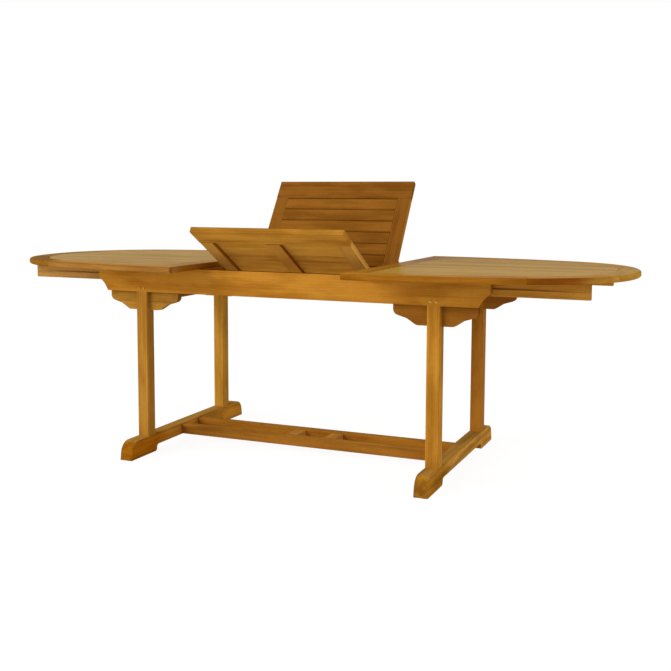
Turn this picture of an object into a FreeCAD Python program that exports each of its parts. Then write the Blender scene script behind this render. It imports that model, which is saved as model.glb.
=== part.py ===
"""Oval extending dining table on two trestles, its folding leaf standing half open.

Millimetres, +Z up. The origin is on the floor under the middle of the table, X runs along the
table and Y across it, from the front to the back. Two half-oval tops slide apart on the aprons,
and a leaf of two hinged wings swings up between them about two pivot bolts.
"""
import FreeCAD, Part
import math
import os

V = FreeCAD.Vector
X_AXIS = V(1, 0, 0)
Y_AXIS = V(0, 1, 0)

# Overall sizes
table_height = 745.0
table_width = 1050.0
half_length = 891.0
end_roundness = 1.07
shoulder_roundness = 0.745
top_thickness = 22.0
edge_bevel = 6.0
board_bevel = 2.5
slat_bevel = 1.5

# Clearances
slide_clearance = 0.3
side_clearance = 0.5
slat_end_clearance = 0.3
running_clearance = 0.05
bolt_clearance = 0.1

# Top halves
rim_width = 75.0
end_rim_angle = 22.5
inner_rail_width = 70.0
slat_pitch = 53.0
slat_gap = 5.0
batten_width = 45.0
batten_depth = 22.0
first_batten = 380.0
batten_spacing = 260.0

# Folding leaf
leaf_width = 594.0
unfold_room = 28.0
wing_thickness = 22.0
wing_slat_thickness = 15.0
wing_edge_rail = 83.0
wing_spine_rail = 72.0
wing_stile = 52.0
wing_slat_pitch = 53.0
wing_batten_width = 70.0
seam_clearance = 0.4
far_wing_angle = 56.3
fold_angle = 86.6
pivot_from_seam = 132.0
pivot_below_top = 33.0
pivot_block_width = 48.0
pivot_block_length = 64.0
pivot_block_cover = 18.0
pivot_radius = 5.0
pivot_head_radius = 9.0
pivot_head_thickness = 5.0

# Hinges along the seam of the leaf
hinge_positions = (-190.0, 190.0)
hinge_length = 60.0
hinge_leaf_width = 24.0
hinge_leaf_thickness = 2.0
hinge_knuckle_radius = 3.2
hinge_pin_radius = 1.6
hinge_gap = 0.4

# Aprons, guide strips and runners
apron_spread = 636.0
apron_thickness = 24.0
apron_depth = 93.0
apron_overhang = 153.0
apron_slant = 41.0
apron_end_square = 44.0
apron_end_hollow = 4.0
apron_hollow_round = 60.0
runner_thickness = 28.0
runner_depth = 55.0
runner_start = 18.0
runner_setback = 123.0
guide_height = 5.5
guide_reach = 10.0
guide_housing = 6.0
guide_below_runner_top = 25.5
guide_end_margin = 8.0
groove_stop = 20.0

# Leaf rails, which carry the pivot bolts between the aprons
leaf_rail_gap = 6.0
leaf_rail_thickness = 24.0
leaf_rail_depth = 74.0
leaf_rail_drop = 1.5

# Trestles
trestle_spacing = 1162.0
leg_width = 47.0
leg_depth = 48.0
lap_height = 36.0
trestle_rail_thickness = 32.0
trestle_rail_depth = 45.0
foot_length = 874.0
foot_width = 50.0
foot_height = 68.0
foot_nose_lean = 10.0
foot_nose_round = 46.0
foot_pad_length = 174.0
foot_arch_height = 25.0
foot_arch_round = 12.0
corbel_reach = 127.0
corbel_depth = 71.0
corbel_tip_depth = 34.0
corbel_tip_round = 22.0
corbel_hollow_x = 50.0
corbel_hollow_depth = 49.0
corbel_hollow_round = 37.0
corbel_knee_x = 84.0
corbel_knee_round = 22.0
corbel_thickness = 26.0
corbel_setback = 18.0

# Stretchers and ties near the floor
stretcher_spread = 130.0
stretcher_width = 40.0
stretcher_depth = 36.0
stretcher_below_foot_top = 4.0
tie_spacing = 160.0
tie_width = 50.0
tie_depth = 28.0

# Tenons and bolts
tenon_shoulder = 8.0
leg_tenon_length = 35.0
rail_tenon_length = 20.0
tie_tenon_length = 10.0
bolt_spacing = 21.0
bolt_above_apron_bottom = 13.0
bolt_neck_width = 6.0
bolt_head_radius = 4.8
bolt_head_height = 2.5

# Levels and places that follow from the sizes above
half_width = table_width / 2
top_underside = table_height - top_thickness
apron_top = top_underside - slide_clearance
apron_bottom = apron_top - apron_depth
apron_outer = apron_spread / 2
apron_inner = apron_outer - apron_thickness
leg_inner = apron_outer - leg_depth
lap_top = apron_bottom + lap_height
gap_half = leaf_width / 2 + unfold_room
trestle_x = trestle_spacing / 2
apron_half_bottom = trestle_x + apron_overhang
apron_half_top = apron_half_bottom + apron_slant
runner_outer = apron_inner - side_clearance
runner_inner = runner_outer - runner_thickness
runner_bottom = top_underside - runner_depth
guide_top = top_underside - guide_below_runner_top
guide_bottom = guide_top - guide_height
pivot_z = table_height - pivot_below_top
stretcher_top = foot_height - stretcher_below_foot_top

os.makedirs("parts", exist_ok=True)


def save(name, *solids):
    """Writes one node: a single solid, or a group of like solids."""
    shape = solids[0] if len(solids) == 1 else Part.makeCompound(list(solids))
    shape.exportStep(f"parts/{name}.step")


def loop(corners, place):
    """Closed wire through (a, b) or (a, b, radius) corners, each radius a tangent arc."""
    count = len(corners)
    ends = []
    for i, corner in enumerate(corners):
        here = V(corner[0], corner[1], 0)
        radius = corner[2] if len(corner) > 2 else 0.0
        before = V(corners[i - 1][0], corners[i - 1][1], 0) - here
        after = V(corners[(i + 1) % count][0], corners[(i + 1) % count][1], 0) - here
        before.normalize()
        after.normalize()
        if radius == 0.0:
            ends.append((here, None, here))
            continue
        half = before.getAngle(after) / 2
        inward = before + after
        inward.normalize()
        tangent = radius / math.tan(half)
        middle = here + inward * (radius / math.sin(half) - radius)
        ends.append((here + before * tangent, middle, here + after * tangent))
    edges = []
    for i, (start, middle, end) in enumerate(ends):
        if middle is not None:
            edges.append(Part.Arc(place(start), place(middle), place(end)).toShape())
        following = ends[(i + 1) % count][0]
        if (following - end).Length > 1e-6:
            edges.append(Part.LineSegment(place(end), place(following)).toShape())
    return Part.Wire(edges)


def plate_xz(corners, y_low, y_high):
    """Flat piece cut to an X-Z outline, between two Y values."""
    face = Part.Face(loop(corners, lambda p: V(p.x, y_low, p.y)))
    return face.extrude(V(0, y_high - y_low, 0))


def plate_yz(corners, x_low, x_high):
    """Flat piece cut to a Y-Z outline, between two X values."""
    face = Part.Face(loop(corners, lambda p: V(x_low, p.x, p.y)))
    return face.extrude(V(x_high - x_low, 0, 0))


def plate_xy(corners, z_low, z_high):
    """Flat piece cut to an X-Y outline, between two Z values."""
    face = Part.Face(loop(corners, lambda p: V(p.x, p.y, z_low)))
    return face.extrude(V(0, 0, z_high - z_low))


def eased(a0, a1, b0, b1, bevel):
    """Corners of a rectangle with each corner cut off by a small bevel."""
    return [
        (a0 + bevel, b0),
        (a1 - bevel, b0),
        (a1, b0 + bevel),
        (a1, b1 - bevel),
        (a1 - bevel, b1),
        (a0 + bevel, b1),
        (a0, b1 - bevel),
        (a0, b0 + bevel),
    ]


def board(low, high, along, bevel=board_bevel):
    """Straight board between two corners, its four long edges bevelled."""
    (x0, y0, z0), (x1, y1, z1) = low, high
    if along == "x":
        return plate_yz(eased(y0, y1, z0, z1, bevel), x0, x1)
    if along == "y":
        return plate_xz(eased(x0, x1, z0, z1, bevel), y0, y1)
    return plate_xy(eased(x0, x1, y0, y1, bevel), z0, z1)


def block(low, high):
    """Plain box between two corners, for tenons, mortises and housings."""
    size = V(*high) - V(*low)
    return Part.makeBox(size.x, size.y, size.z, V(*low))


def mirrored_x(shape):
    """The same piece for the left end of the table."""
    return shape.mirror(V(0, 0, 0), X_AXIS)


def mirrored_y(shape):
    """The same piece for the other long side of the table."""
    return shape.mirror(V(0, 0, 0), Y_AXIS)


# Feet: a rounded nose at each end, two pads on the floor and a low arch between them
foot_half = foot_length / 2
pad_inner = foot_half - foot_pad_length
foot_outline = [
    (-foot_half, 0.0),
    (-pad_inner, 0.0, foot_arch_round),
    (-pad_inner, foot_arch_height, foot_arch_round),
    (pad_inner, foot_arch_height, foot_arch_round),
    (pad_inner, 0.0, foot_arch_round),
    (foot_half, 0.0),
    (foot_half - foot_nose_lean, foot_height, foot_nose_round),
    (-foot_half + foot_nose_lean, foot_height, foot_nose_round),
]
foot_right = trestle_x + foot_width / 2
foot_left = trestle_x - foot_width / 2
foot = plate_yz(foot_outline, foot_left, foot_right)

# Legs: tenoned into the foot, and lapped behind the apron at the top
leg_left = trestle_x - leg_width / 2
leg_right = trestle_x + leg_width / 2
leg_tenon = block(
    (leg_left + tenon_shoulder, -apron_outer + tenon_shoulder, foot_height - leg_tenon_length),
    (leg_right - tenon_shoulder, -leg_inner - tenon_shoulder, foot_height),
)
leg = board((leg_left, -apron_outer, foot_height), (leg_right, -leg_inner, lap_top), "z")
leg = leg.cut(block((leg_left, -apron_outer, apron_bottom), (leg_right, -apron_inner, lap_top)))
leg = leg.fuse(leg_tenon)

# Top rail of a trestle, tenoned between its two legs, level with the bottom of the aprons
trestle_rail_top = apron_bottom
trestle_rail_bottom = trestle_rail_top - trestle_rail_depth
rail_left = trestle_x - trestle_rail_thickness / 2
rail_right = trestle_x + trestle_rail_thickness / 2
trestle_rail = board(
    (rail_left, -leg_inner, trestle_rail_bottom), (rail_right, leg_inner, trestle_rail_top), "y"
)
rail_tenon = block(
    (rail_left + tenon_shoulder, -leg_inner - rail_tenon_length, trestle_rail_bottom + tenon_shoulder),
    (rail_right - tenon_shoulder, -leg_inner, trestle_rail_top - tenon_shoulder),
)
trestle_rail = trestle_rail.fuse([rail_tenon, mirrored_y(rail_tenon)])
leg = leg.cut(rail_tenon)
foot = foot.cut([leg_tenon, mirrored_y(leg_tenon)])

# Stretchers between the feet, and two ties between the stretchers
stretcher_y = stretcher_spread / 2
stretcher_bottom = stretcher_top - stretcher_depth
stretcher = board(
    (-foot_left, -stretcher_y - stretcher_width / 2, stretcher_bottom),
    (foot_left, -stretcher_y + stretcher_width / 2, stretcher_top),
    "x",
)
stretcher_tenon = block(
    (foot_left, -stretcher_y - stretcher_width / 2 + tenon_shoulder, stretcher_bottom + tenon_shoulder),
    (
        foot_left + rail_tenon_length,
        -stretcher_y + stretcher_width / 2 - tenon_shoulder,
        stretcher_top - tenon_shoulder,
    ),
)
stretcher = stretcher.fuse([stretcher_tenon, mirrored_x(stretcher_tenon)])
foot = foot.cut([stretcher_tenon, mirrored_y(stretcher_tenon)])

tie_x = tie_spacing / 2
tie_end = stretcher_y - stretcher_width / 2
tie_middle = (stretcher_top + stretcher_bottom) / 2
tie = board(
    (tie_x - tie_width / 2, -tie_end, tie_middle - tie_depth / 2),
    (tie_x + tie_width / 2, tie_end, tie_middle + tie_depth / 2),
    "y",
)
tie_tenon = block(
    (
        tie_x - tie_width / 2 + tenon_shoulder,
        -tie_end - tie_tenon_length,
        tie_middle - tie_depth / 2 + tenon_shoulder,
    ),
    (tie_x + tie_width / 2 - tenon_shoulder, -tie_end, tie_middle + tie_depth / 2 - tenon_shoulder),
)
tie = tie.fuse([tie_tenon, mirrored_y(tie_tenon)])
stretcher = stretcher.cut([tie_tenon, mirrored_x(tie_tenon)])

# Aprons: long boards with hollow-cut slanting ends, housed for the guide strips inside
apron_hollow_x = apron_half_bottom + apron_slant / 2 - apron_end_hollow
apron_hollow_z = (apron_bottom + apron_top - apron_end_square) / 2 + apron_end_hollow
apron_outline = [
    (-apron_half_bottom, apron_bottom),
    (apron_half_bottom, apron_bottom),
    (apron_hollow_x, apron_hollow_z, apron_hollow_round),
    (apron_half_top, apron_top - apron_end_square),
    (apron_half_top, apron_top),
    (-apron_half_top, apron_top),
    (-apron_half_top, apron_top - apron_end_square),
    (-apron_hollow_x, apron_hollow_z, apron_hollow_round),
]
apron = plate_xz(apron_outline, -apron_outer, -apron_inner)

# Guide strips: one for each runner, let into the apron and standing out into the runner's groove.
# Each strip starts where the closed end of the groove meets it, which stops the top half.
groove_inner_end = gap_half + runner_start + groove_stop
guide = block(
    (groove_inner_end + slide_clearance, -apron_inner - guide_housing, guide_bottom),
    (apron_half_top - guide_end_margin, -apron_inner + guide_reach, guide_top),
)
apron = apron.cut([guide, mirrored_x(guide)])

# Bolts: two round-headed coach bolts at each leg, square-necked through the apron and the leg's lap
bolt_z = apron_bottom + bolt_above_apron_bottom
bolt_places = [V(trestle_x + side * bolt_spacing / 2, -apron_outer, bolt_z) for side in (-1, 1)]


def bolt_neck(place, width):
    """Square bar from the apron's face to the back of the leg."""
    return block(
        (place.x - width / 2, place.y, place.z - width / 2),
        (place.x + width / 2, place.y + leg_depth, place.z + width / 2),
    )


def bolt_at(place):
    """A bolt's round head on the apron's face, and its neck."""
    head = Part.makeCylinder(bolt_head_radius, bolt_head_height, place, -Y_AXIS)
    return head.fuse(bolt_neck(place, bolt_neck_width))


bolts = [bolt_at(place) for place in bolt_places]
bolt_holes = [bolt_neck(place, bolt_neck_width + 2 * bolt_clearance) for place in bolt_places]
leg = leg.cut(bolt_holes)
apron = apron.cut(bolt_holes + [mirrored_x(hole) for hole in bolt_holes])

# Corbels: scalloped brackets under the apron, one on each side of every leg
corbel_outline = [
    (0.0, 0.0),
    (0.0, -corbel_tip_depth, corbel_tip_round),
    (corbel_hollow_x, -corbel_hollow_depth, corbel_hollow_round),
    (corbel_knee_x, -corbel_depth, corbel_knee_round),
    (corbel_reach, -corbel_depth),
    (corbel_reach, 0.0),
]
corbel_front = -apron_outer + corbel_setback
inner_corbel = plate_xz(corbel_outline, corbel_front, corbel_front + corbel_thickness)
inner_corbel.translate(V(leg_left - corbel_reach, 0, apron_bottom))
outer_corbel = inner_corbel.mirror(V(trestle_x, 0, 0), X_AXIS)

# Leaf rails: across the table at each end of the leaf, stepped down under the runners
leaf_rail_x0 = leaf_width / 2 + leaf_rail_gap
leaf_rail_x1 = leaf_rail_x0 + leaf_rail_thickness
leaf_rail_top = top_underside - leaf_rail_drop
leaf_rail_bottom = leaf_rail_top - leaf_rail_depth
rail_step_y = runner_inner - leaf_rail_gap
rail_step_z = runner_bottom - 2 * side_clearance
leaf_rail_outline = [
    (-apron_inner, leaf_rail_bottom),
    (apron_inner, leaf_rail_bottom),
    (apron_inner, rail_step_z),
    (rail_step_y, rail_step_z),
    (rail_step_y, leaf_rail_top, board_bevel),
    (-rail_step_y, leaf_rail_top, board_bevel),
    (-rail_step_y, rail_step_z),
    (-apron_inner, rail_step_z),
]
leaf_rail = plate_yz(leaf_rail_outline, leaf_rail_x0, leaf_rail_x1)

# Pivot bolts: from the outside of each leaf rail, through a collar, into the block on the wing
pivot_block_x1 = leaf_width / 2 - side_clearance
pivot_block_x0 = pivot_block_x1 - pivot_block_width
collar_x0 = leaf_width / 2 + side_clearance
pivot_at = V(0, pivot_from_seam, pivot_z)
pivot_hole = Part.makeCylinder(
    pivot_radius + running_clearance,
    pivot_block_width + leaf_rail_gap + leaf_rail_thickness + side_clearance,
    pivot_at + V(pivot_block_x0, 0, 0),
    X_AXIS,
)
pivot_tip_x = pivot_block_x0 + board_bevel
pivot_bolt = Part.makeCylinder(
    pivot_radius, leaf_rail_x1 - pivot_tip_x, pivot_at + V(pivot_tip_x, 0, 0), X_AXIS
)
pivot_collar = Part.makeCylinder(
    pivot_head_radius, leaf_rail_x0 - collar_x0, pivot_at + V(collar_x0, 0, 0), X_AXIS
)
head_corners = [
    (
        pivot_at.y + pivot_head_radius * math.cos(side * math.pi / 3),
        pivot_at.z + pivot_head_radius * math.sin(side * math.pi / 3),
    )
    for side in range(6)
]
pivot_head = plate_yz(head_corners, leaf_rail_x1, leaf_rail_x1 + pivot_head_thickness)
pivot_bolt = pivot_bolt.fuse([pivot_collar, pivot_head])
leaf_rail = leaf_rail.cut(pivot_hole)

# The frame's nodes
save("near_apron", apron)
save("far_apron", mirrored_y(apron))
save("near_guide_strips", guide, mirrored_x(guide))
save("far_guide_strips", mirrored_y(guide), mirrored_x(mirrored_y(guide)))
save("near_right_leg", leg)
save("near_left_leg", mirrored_x(leg))
save("far_right_leg", mirrored_y(leg))
save("far_left_leg", mirrored_x(mirrored_y(leg)))
save("right_foot", foot)
save("left_foot", mirrored_x(foot))
save("right_trestle_rail", trestle_rail)
save("left_trestle_rail", mirrored_x(trestle_rail))
save("near_right_corbels", inner_corbel, outer_corbel)
save("near_left_corbels", mirrored_x(inner_corbel), mirrored_x(outer_corbel))
save("far_right_corbels", mirrored_y(inner_corbel), mirrored_y(outer_corbel))
save(
    "far_left_corbels",
    mirrored_x(mirrored_y(inner_corbel)),
    mirrored_x(mirrored_y(outer_corbel)),
)
save("near_stretcher", stretcher)
save("far_stretcher", mirrored_y(stretcher))
save("right_tie", tie)
save("left_tie", mirrored_x(tie))
save("right_leaf_rail", leaf_rail)
save("left_leaf_rail", mirrored_x(leaf_rail))
save("leaf_pivot_bolts", pivot_bolt, mirrored_x(pivot_bolt))
right_bolts = bolts + [mirrored_y(bolt) for bolt in bolts]
save("apron_bolts", *(right_bolts + [mirrored_x(bolt) for bolt in right_bolts]))


# Top halves: a curved rim of five sawn pieces, an inner rail at the straight edge, and slats
rim_names = ("far_side_rim", "far_shoulder_rim", "end_rim", "near_shoulder_rim", "near_side_rim")
slat_inset = rim_width + slat_end_clearance

# The outline is drawn with compasses: a wide arc along each side, a tighter one round each shoulder
# and a flatter one across the end, each running smoothly into the next. A place on it is named by
# the direction in which its edge faces, in degrees from the X axis.
end_radius = half_width * end_roundness
shoulder_radius = half_width * shoulder_roundness
shoulder_step = end_radius - shoulder_radius
end_turn = math.radians(end_rim_angle)
shoulder_x = half_length - end_radius + shoulder_step * math.cos(end_turn)
shoulder_y = shoulder_step * math.sin(end_turn)
side_drop = half_width - shoulder_y
side_radius = (shoulder_x**2 + side_drop**2 - shoulder_radius**2) / (2 * (side_drop - shoulder_radius))
side_angle = math.degrees(math.atan2(side_radius - side_drop, shoulder_x))
rim_joint_angles = (90.0, side_angle, end_rim_angle, -end_rim_angle, -side_angle, -90.0)


def oval_point(angle, inset):
    """Point of the half oval whose edge faces this way, moved inward by the inset."""
    turn = math.radians(abs(angle))
    if abs(angle) <= end_rim_angle:
        x, y, radius = half_length - end_radius, 0.0, end_radius
    elif abs(angle) <= side_angle:
        x, y, radius = shoulder_x, shoulder_y, shoulder_radius
    else:
        x, y, radius = 0.0, half_width - side_radius, side_radius
    x += (radius - inset) * math.cos(turn)
    y += (radius - inset) * math.sin(turn)
    return V(gap_half + x, math.copysign(y, angle), top_underside)


def oval_arc(first, last, inset):
    """Arc of the half oval between two facing angles of the same arc."""
    middle = oval_point((first + last) / 2, inset)
    return Part.Arc(oval_point(first, inset), middle, oval_point(last, inset)).toShape()


def slat_space():
    """Everything inside the rim, taller than the top and open past its straight edge."""
    far = oval_point(90.0, slat_inset)
    near = oval_point(-90.0, slat_inset)
    past_edge = V(-rim_width, 0, 0)
    edges = Part.makePolygon([far, far + past_edge, near + past_edge, near]).Edges
    for first, last in zip(rim_joint_angles[1:], rim_joint_angles):
        edges.insert(3, oval_arc(first, last, slat_inset))
    outline = Part.Wire(edges)
    outline.translate(V(0, 0, -top_thickness))
    return Part.Face(outline).extrude(V(0, 0, 3 * top_thickness))


def rim_piece(first, last):
    """One sawn piece of the rim, jointed square to its edge, the outer edge bevelled."""
    outer = oval_arc(first, last, 0.0)
    inner = oval_arc(first, last, rim_width)
    start = Part.LineSegment(oval_point(first, 0.0), oval_point(first, rim_width)).toShape()
    end = Part.LineSegment(oval_point(last, 0.0), oval_point(last, rim_width)).toShape()
    piece = Part.Face(Part.Wire([outer, end, inner, start])).extrude(V(0, 0, top_thickness))
    rim_edges = [
        edge
        for edge in piece.Edges
        if edge.Curve.TypeId == "Part::GeomCircle" and edge.Length > inner.Length + edge_bevel
    ]
    return piece.makeChamfer(edge_bevel, rim_edges).Solids[0]


def top_half_parts():
    """The pieces of the right-hand top half, by name."""
    parts = {}
    for name, first, last in zip(rim_names, rim_joint_angles, rim_joint_angles[1:]):
        parts[name] = rim_piece(first, last)

    inside = slat_space()
    opening = half_width - rim_width
    rail_x1 = gap_half + inner_rail_width
    inner_rail = board(
        (gap_half, -half_width, top_underside), (rail_x1, half_width, table_height), "y", slat_bevel
    )
    parts["inner_rail"] = inner_rail.common(inside).Solids[0]

    count = round(2 * opening / slat_pitch)
    pitch = 2 * opening / count
    blank_end = gap_half + half_length
    slats = []
    for i in range(count):
        y0 = -opening + i * pitch + slat_gap / 2
        y1 = y0 + pitch - slat_gap
        slat = board((rail_x1, y0, top_underside), (blank_end, y1, table_height), "x", slat_bevel)
        slats.append(slat.common(inside).Solids[0])
    parts["slats"] = slats

    battens = []
    for i in range(2):
        x0 = gap_half + first_batten + i * batten_spacing - batten_width / 2
        battens.append(board(
            (x0, -runner_inner, top_underside - batten_depth),
            (x0 + batten_width, runner_inner, top_underside),
            "y",
        ))
    parts["battens"] = battens

    runner_x0 = gap_half + runner_start
    runner_x1 = gap_half + half_length - runner_setback
    runner = board(
        (runner_x0, -runner_outer, runner_bottom), (runner_x1, -runner_inner, top_underside), "x"
    )
    groove = block(
        (groove_inner_end, -runner_outer, guide_bottom - slide_clearance),
        (runner_x1, -apron_inner + guide_reach + side_clearance, guide_top + slide_clearance),
    )
    parts["near_runner"] = runner.cut(groove)
    parts["far_runner"] = mirrored_y(parts["near_runner"])
    return parts


for node, piece in top_half_parts().items():
    pieces = piece if isinstance(piece, list) else [piece]
    save("right_" + node, *pieces)
    save("left_" + node, *[mirrored_x(p) for p in pieces])

# Folding leaf: each wing is modelled lying flat at the table's height, then swung to its place
wing_x = leaf_width / 2
wing_underside = table_height - wing_thickness
slat_underside = table_height - wing_slat_thickness
seam_at = V(0, 0, table_height)


def wing_parts():
    """The pieces of the far wing lying flat, by name."""
    parts = {}
    rail_y = half_width - wing_edge_rail
    parts["edge_rail"] = board(
        (-wing_x, rail_y, wing_underside), (wing_x, half_width, table_height), "x"
    )
    spine = board(
        (-wing_x, seam_clearance, wing_underside), (wing_x, wing_spine_rail, table_height), "x", slat_bevel
    )
    for x in hinge_positions:
        hinge_start = V(x - hinge_length / 2, 0, table_height)
        housing = block(
            (hinge_start.x, 0, table_height - hinge_leaf_thickness),
            (hinge_start.x + hinge_length, hinge_leaf_width, table_height),
        )
        groove = Part.makeCylinder(hinge_knuckle_radius + hinge_gap, hinge_length, hinge_start, X_AXIS)
        spine = spine.cut([housing, groove])
    parts["spine_rail"] = spine
    stile = board(
        (wing_x - wing_stile, wing_spine_rail, wing_underside),
        (wing_x, rail_y, table_height),
        "y",
        slat_bevel,
    )
    parts["stiles"] = [stile, mirrored_x(stile)]
    space = rail_y - wing_spine_rail
    count = round(space / wing_slat_pitch)
    pitch = space / count
    slats = []
    for i in range(count):
        y0 = wing_spine_rail + i * pitch + slat_gap / 2
        slats.append(board(
            (-wing_x + wing_stile, y0, slat_underside),
            (wing_x - wing_stile, y0 + pitch - slat_gap, table_height),
            "x",
            slat_bevel,
        ))
    parts["slats"] = slats
    parts["batten"] = board(
        (-wing_batten_width / 2, wing_spine_rail, wing_underside),
        (wing_batten_width / 2, rail_y, slat_underside),
        "y",
        slat_bevel,
    )
    return parts


# Pivot blocks: cleats under the far wing's stiles, round-bottomed about the pivot bolts
pivot_block = plate_yz(
    [
        (pivot_from_seam - pivot_block_length / 2, wing_underside),
        (pivot_from_seam + pivot_block_length / 2, wing_underside),
        (pivot_from_seam + pivot_block_length / 2, pivot_z - pivot_block_cover, pivot_block_cover),
        (pivot_from_seam - pivot_block_length / 2, pivot_z - pivot_block_cover, pivot_block_cover),
    ],
    pivot_block_x0,
    pivot_block_x1,
).cut(pivot_hole)

# Hinges: brass leaves let in flush at the seam, their knuckles on the line of the two top faces
knuckle_length = hinge_length / 2


def hinge_leaf(x, own_knuckle):
    """One leaf of a hinge on the far side of the seam, with the knuckle that it owns."""
    base_y = hinge_knuckle_radius + hinge_gap
    low = table_height - hinge_leaf_thickness
    leaf = block((x - hinge_length / 2, base_y, low), (x + hinge_length / 2, hinge_leaf_width, table_height))
    x0 = x - hinge_length / 2 + own_knuckle * knuckle_length + hinge_gap / 2
    x1 = x0 + knuckle_length - hinge_gap
    barrel = Part.makeCylinder(hinge_knuckle_radius, x1 - x0, seam_at + V(x0, 0, 0), X_AXIS)
    leaf = leaf.fuse([barrel, block((x0, 0, low), (x1, base_y, table_height))])
    bore = Part.makeCylinder(
        hinge_pin_radius + running_clearance, hinge_length, seam_at + V(x - hinge_length / 2, 0, 0), X_AXIS
    )
    return leaf.cut(bore).removeSplitter()


far_hinges = [hinge_leaf(x, 0) for x in hinge_positions]
near_hinges = [mirrored_y(hinge_leaf(x, 1)) for x in hinge_positions]
hinge_pins = [
    Part.makeCylinder(hinge_pin_radius, hinge_length, seam_at + V(x - hinge_length / 2, 0, 0), X_AXIS)
    for x in hinge_positions
]


def swung(shape, folded):
    """A flat piece of the leaf at its place: folded about the seam, then swung about the pivot."""
    placed = shape.copy()
    if folded:
        placed.rotate(seam_at, X_AXIS, -fold_angle)
    placed.rotate(pivot_at, X_AXIS, far_wing_angle)
    return placed


for node, piece in wing_parts().items():
    pieces = piece if isinstance(piece, list) else [piece]
    save("far_wing_" + node, *[swung(p, False) for p in pieces])
    save("near_wing_" + node, *[swung(mirrored_y(p), True) for p in pieces])
save("far_wing_pivot_blocks", swung(pivot_block, False), swung(mirrored_x(pivot_block), False))
save("far_hinge_leaves", *[swung(leaf, False) for leaf in far_hinges])
save("near_hinge_leaves", *[swung(leaf, True) for leaf in near_hinges])
save("hinge_pins", *[swung(pin, False) for pin in hinge_pins])
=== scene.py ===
"""Oiled teak extending table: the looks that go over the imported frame, in metres, +Z up."""
import math

import bpy
import numpy as np
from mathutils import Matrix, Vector


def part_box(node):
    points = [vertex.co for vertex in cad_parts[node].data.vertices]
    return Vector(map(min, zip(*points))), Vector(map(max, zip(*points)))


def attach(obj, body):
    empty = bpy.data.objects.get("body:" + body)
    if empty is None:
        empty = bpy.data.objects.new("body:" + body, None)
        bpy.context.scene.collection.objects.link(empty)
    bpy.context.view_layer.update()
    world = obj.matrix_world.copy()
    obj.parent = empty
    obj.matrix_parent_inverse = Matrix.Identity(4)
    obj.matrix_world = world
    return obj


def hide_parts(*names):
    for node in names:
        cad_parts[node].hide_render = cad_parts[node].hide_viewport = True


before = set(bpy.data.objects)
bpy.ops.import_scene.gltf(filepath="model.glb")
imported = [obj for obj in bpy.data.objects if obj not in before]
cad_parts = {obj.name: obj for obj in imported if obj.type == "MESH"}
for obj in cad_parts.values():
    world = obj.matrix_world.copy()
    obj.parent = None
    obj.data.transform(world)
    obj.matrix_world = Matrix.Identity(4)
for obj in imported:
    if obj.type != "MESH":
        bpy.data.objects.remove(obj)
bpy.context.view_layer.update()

# Feet: two sledge feet across the table, each sawn from one plank of teak with rounded noses and a
# low arch under the middle. They are planed and oiled, with the grain along the foot, and their near
# ends are darker than the rest.
ALONG_X = (0.0, 0.0, 0.0)
ALONG_Y = (0.0, 0.0, -math.pi / 2)
ALONG_Z = (0.0, math.pi / 2, 0.0)
FOOT_TEAK = ((0.58, 0.310, 0.058), (0.29, 0.145, 0.027))
FOOT_EDGE = {
    "left": ((0.92, 0.390, 0.034), (0.28, 0.142, 0.023)),
    "right": ((0.94, 0.470, 0.080), (0.38, 0.168, 0.026)),
}
NEAR_FOOT_EDGE = {
    "left": ((0.52, 0.170, 0.006), (0.14, 0.062, 0.005)),
    "right": ((0.62, 0.265, 0.024), (0.26, 0.104, 0.010)),
}
FOOT_FADE = (-0.27, -0.15)
RINGS_PER_METRE = 125.0
PITH_DEPTH = 0.035
PITH_SPREAD = (0.08, 0.05)
PLANK_SHIFT = 9.0
END_FACES = (0.45, 0.8)
FLAT_FACES = (0.88, 0.98)
UPPER_FACES = (0.3, 0.7)
PORE_SHADE = (0.45, 0.42, 0.4, 1.0)
OIL_INDEX = 1.45
FILM_ROUGHNESS = 0.22


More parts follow.
